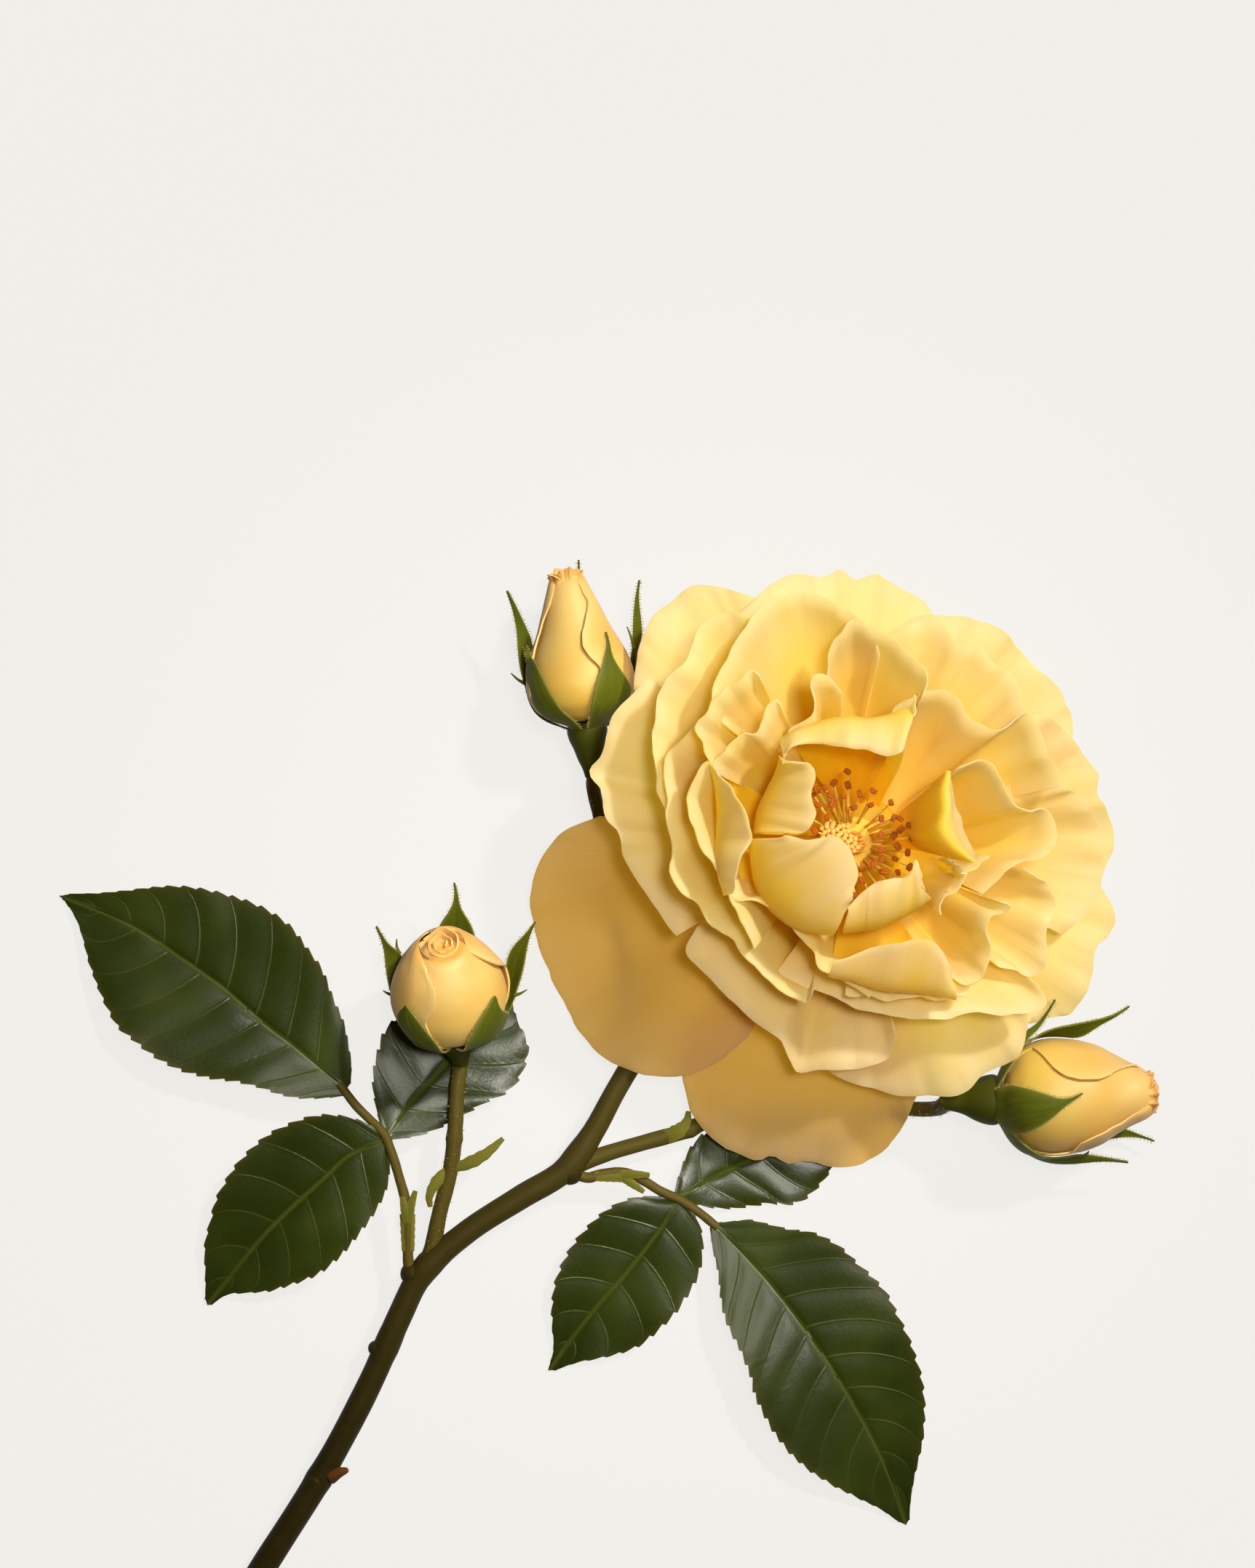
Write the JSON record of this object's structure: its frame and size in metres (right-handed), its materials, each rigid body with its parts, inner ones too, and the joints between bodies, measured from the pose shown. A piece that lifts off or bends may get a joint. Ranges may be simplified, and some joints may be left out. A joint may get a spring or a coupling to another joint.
{
  "type": "cut rose",
  "caption": "Cut spray of a yellow garden rose lying on its side, with an open layered bloom facing up, closed buds and toothed leaves.",
  "frame": {"origin": "on the table, under the middle of the spray's box", "axes": "+Y runs up the spray from the cut end to the bloom's end, +Z points off the table, +X to the right seen from above"},
  "size_m": [0.1959, 0.2376, 0.0528],
  "materials": {
    "petal": "soft matte petal, cream yellow at the rim and golden towards the root, translucent",
    "bud_petal": "soft matte petal, peach yellow",
    "stamen": "matte, golden filaments and rust anthers",
    "pistil": "matte, granular, peach",
    "sepal": "matte green with a fine pale down along the edges",
    "leaf": "dark green with a soft gloss and sunken veins",
    "stem": "smooth dark green with a brown tint"
  },
  "bodies": {
    "root": {"stem": "stem", "leaf_left": "leaf", "leaf_right": "leaf", "bloom_petals": "petal", "bloom_stamens": "stamen", "bloom_pistil": "pistil", "bloom_calyx": "sepal", "bud_left_petals": "bud_petal", "bud_left_calyx": "sepal", "bud_upper_petals": "bud_petal", "bud_upper_calyx": "sepal", "bud_right_petals": "bud_petal", "bud_right_calyx": "sepal"}
  },
  "joints": []
}
